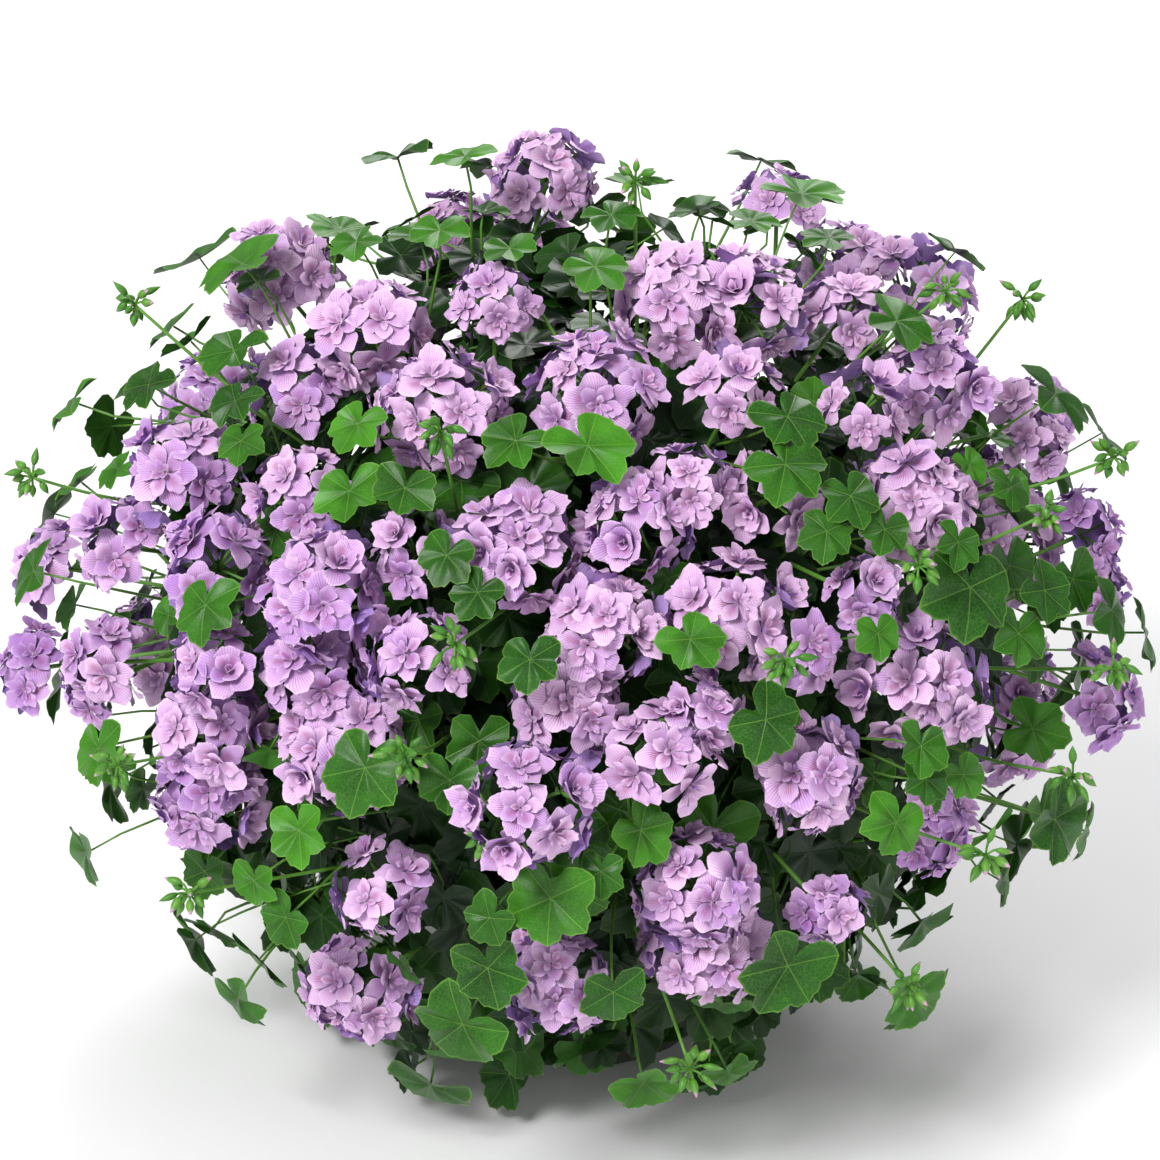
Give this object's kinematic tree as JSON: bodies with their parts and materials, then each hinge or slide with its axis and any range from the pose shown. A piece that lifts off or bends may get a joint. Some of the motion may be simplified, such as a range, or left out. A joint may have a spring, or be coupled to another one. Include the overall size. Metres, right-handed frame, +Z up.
{
  "type": "potted ivy-leaved pelargonium",
  "caption": "Trailing ivy-leaved pelargonium in a plain round pot, a broad mound of lobed leaves and double lilac flower heads.",
  "frame": {"origin": "middle of the pot's flat underside", "axes": "+Z up along the pot's axis, -Y towards the front of the plant as the picture shows it, +X to its right"},
  "size_m": [0.7315, 0.7122, 0.6132],
  "materials": {
    "pot": "satin moulded plastic, dark grey-green",
    "compost": "damp peat-free potting compost with bark and grit",
    "foliage": "fresh green leaf, slightly glossy, dark in the shade",
    "petals": "soft lilac petals with darker veins and pinkish hearts"
  },
  "bodies": {
    "root": {"pot": "pot", "compost": "compost", "leafy_stems": "foliage", "flower_head_01": "petals", "flower_head_02": "petals", "flower_head_03": "petals", "flower_head_04": "petals", "flower_head_05": "petals", "flower_head_06": "petals", "flower_head_07": "petals", "flower_head_08": "petals", "flower_head_09": "petals", "flower_head_10": "petals", "flower_head_11": "petals", "flower_head_12": "petals", "flower_head_13": "petals", "flower_head_14": "petals", "flower_head_15": "petals", "flower_head_16": "petals", "flower_head_17": "petals", "flower_head_18": "petals", "flower_head_19": "petals", "flower_head_20": "petals", "flower_head_21": "petals", "flower_head_22": "petals", "flower_head_23": "petals", "flower_head_24": "petals", "flower_head_25": "petals", "flower_head_26": "petals", "flower_head_27": "petals", "flower_head_28": "petals", "flower_head_29": "petals", "flower_head_30": "petals", "flower_head_31": "petals", "flower_head_32": "petals", "flower_head_33": "petals", "flower_head_34": "petals", "flower_head_35": "petals", "flower_head_36": "petals", "flower_head_37": "petals", "flower_head_38": "petals", "flower_head_39": "petals", "flower_head_40": "petals", "flower_head_41": "petals", "flower_head_42": "petals", "flower_head_43": "petals", "flower_head_44": "petals", "flower_head_45": "petals", "flower_head_46": "petals", "flower_head_47": "petals", "flower_head_48": "petals", "flower_head_49": "petals", "flower_head_50": "petals", "flower_head_51": "petals", "flower_head_52": "petals", "flower_head_53": "petals", "flower_head_54": "petals", "flower_head_55": "petals", "flower_head_56": "petals", "flower_head_57": "petals"}
  },
  "joints": []
}
